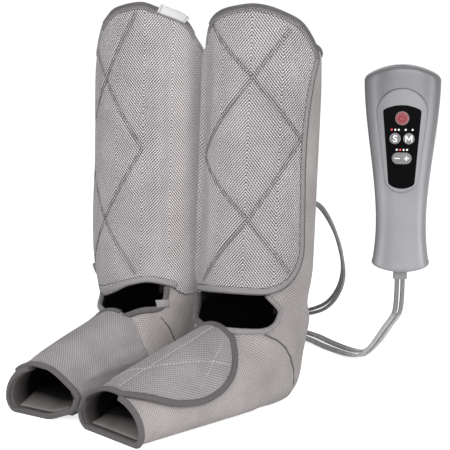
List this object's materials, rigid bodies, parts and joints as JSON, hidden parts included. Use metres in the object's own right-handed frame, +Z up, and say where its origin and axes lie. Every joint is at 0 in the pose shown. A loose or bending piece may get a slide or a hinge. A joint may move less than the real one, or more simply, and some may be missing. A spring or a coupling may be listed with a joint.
{
  "type": "foot and calf massager",
  "caption": "Grey mesh leg wraps with open-toe foot sleeves and hinged quilted flaps, joined by clear air hoses to an upright silver hand controller that pumps air for massage.",
  "frame": {"origin": "on the floor under the middle of the wraps and the controller taken together", "axes": "+Z up, toes towards -Y, the controller towards +X"},
  "size_m": [0.4658, 0.4575, 0.4328],
  "materials": {
    "mesh_cloth": "woven air mesh",
    "quilted_mesh": "quilted air mesh",
    "lining_cloth": "plain weave",
    "bladder_film": "welded film",
    "hook_tape": "hook tape",
    "loop_tape": "loop tape",
    "grommet_rubber": "matt",
    "insole_cloth": "brushed",
    "hose_vinyl": "translucent",
    "tag_cloth": "satin weave",
    "shell_silver": "satin silver paint",
    "panel_black": "gloss",
    "lens_red": "clear",
    "key_black": "satin",
    "power_red": "gloss",
    "key_grey": "satin",
    "board_green": "lacquered",
    "switch_black": "matt",
    "motor_steel": "plain",
    "pump_plastic": "matt",
    "screw_steel": "plain",
    "plug_black": "satin"
  },
  "bodies": {
    "wraps": {"left_calf_cover": "mesh_cloth", "left_calf_bladder": "bladder_film", "left_calf_lining": "lining_cloth", "left_calf_loop_patch": "loop_tape", "left_hose_grommet": "grommet_rubber", "left_foot_cover": "mesh_cloth", "left_foot_bladder": "bladder_film", "left_insole": "insole_cloth", "left_foot_loop_patch": "loop_tape", "left_calf_hose": "hose_vinyl", "left_foot_hose": "hose_vinyl", "right_calf_cover": "mesh_cloth", "right_calf_bladder": "bladder_film", "right_calf_lining": "lining_cloth", "right_calf_loop_patch": "loop_tape", "right_hose_grommet": "grommet_rubber", "right_foot_cover": "mesh_cloth", "right_foot_bladder": "bladder_film", "right_insole": "insole_cloth", "right_foot_loop_patch": "loop_tape", "right_calf_hose": "hose_vinyl", "right_foot_hose": "hose_vinyl", "woven_tag": "tag_cloth", "hose_plug": "plug_black"},
    "left_calf_flap": {"left_calf_flap": "quilted_mesh", "left_calf_hook_strip": "hook_tape"},
    "right_calf_flap": {"right_calf_flap": "quilted_mesh", "right_calf_hook_strip": "hook_tape"},
    "left_foot_flap": {"left_foot_flap": "quilted_mesh", "left_foot_hook_strip": "hook_tape"},
    "right_foot_flap": {"right_foot_flap": "quilted_mesh", "right_foot_hook_strip": "hook_tape"},
    "handset": {"front_shell": "shell_silver", "rear_shell": "shell_silver", "key_panel": "panel_black", "indicator_lenses": "lens_red", "circuit_board": "board_green", "key_switches": "switch_black", "pump_motor": "motor_steel", "pump_head": "pump_plastic", "hose_socket": "pump_plastic", "air_valves": "motor_steel", "power_inlet": "switch_black", "shell_screws": "screw_steel"},
    "power_button": {"power_button": "power_red"},
    "s_key": {"s_key": "key_grey"},
    "m_key": {"m_key": "key_grey"},
    "level_rocker": {"level_rocker": "key_black"},
    "motor_rotor": {"motor_rotor": "motor_steel"}
  },
  "joints": [
    {"name": "left_calf_flap_hinge", "type": "hinge", "parent": "wraps", "child": "left_calf_flap", "pos_m": [-0.05601, 0.03151, 0.12089], "axis": [-0.0063, -0.052, -0.9986], "range_deg": [0, 80]},
    {"name": "right_calf_flap_hinge", "type": "hinge", "parent": "wraps", "child": "right_calf_flap", "pos_m": [-0.11113, 0.03151, 0.12089], "axis": [-0.0063, 0.052, 0.9986], "range_deg": [0, 80]},
    {"name": "left_foot_flap_hinge", "type": "hinge", "parent": "wraps", "child": "left_foot_flap", "pos_m": [-0.06165, 0.00331, 0.03], "axis": [-0.0671, -0.9977, 0], "range_deg": [0, 40]},
    {"name": "right_foot_flap_hinge", "type": "hinge", "parent": "wraps", "child": "right_foot_flap", "pos_m": [-0.10548, 0.00331, 0.03], "axis": [-0.0671, 0.9977, 0], "range_deg": [0, 40]},
    {"name": "handset_pull_off", "type": "slide", "parent": "wraps", "child": "handset", "axis": [0, 0, 1], "range_m": [0, 0.025]},
    {"name": "power_button_press", "type": "slide", "parent": "handset", "child": "power_button", "axis": [-0.506, 0.8625, 0], "range_m": [0, 0.001], "stiffness_N_per_m": 800},
    {"name": "s_key_press", "type": "slide", "parent": "handset", "child": "s_key", "axis": [-0.506, 0.8625, 0], "range_m": [0, 0.001], "stiffness_N_per_m": 800},
    {"name": "m_key_press", "type": "slide", "parent": "handset", "child": "m_key", "axis": [-0.506, 0.8625, 0], "range_m": [0, 0.001], "stiffness_N_per_m": 800},
    {"name": "level_rocker_tilt", "type": "hinge", "parent": "handset", "child": "level_rocker", "pos_m": [0.20806, 0.01656, 0.2824], "axis": [0, 0, 1], "range_deg": [-3, 3], "stiffness_Nm_per_rad": 0.05},
    {"name": "motor_spin", "type": "hinge", "parent": "handset", "child": "motor_rotor", "pos_m": [0.19419, 0.0402, 0.3038], "axis": [0, 0, 1], "continuous": true}
  ]
}
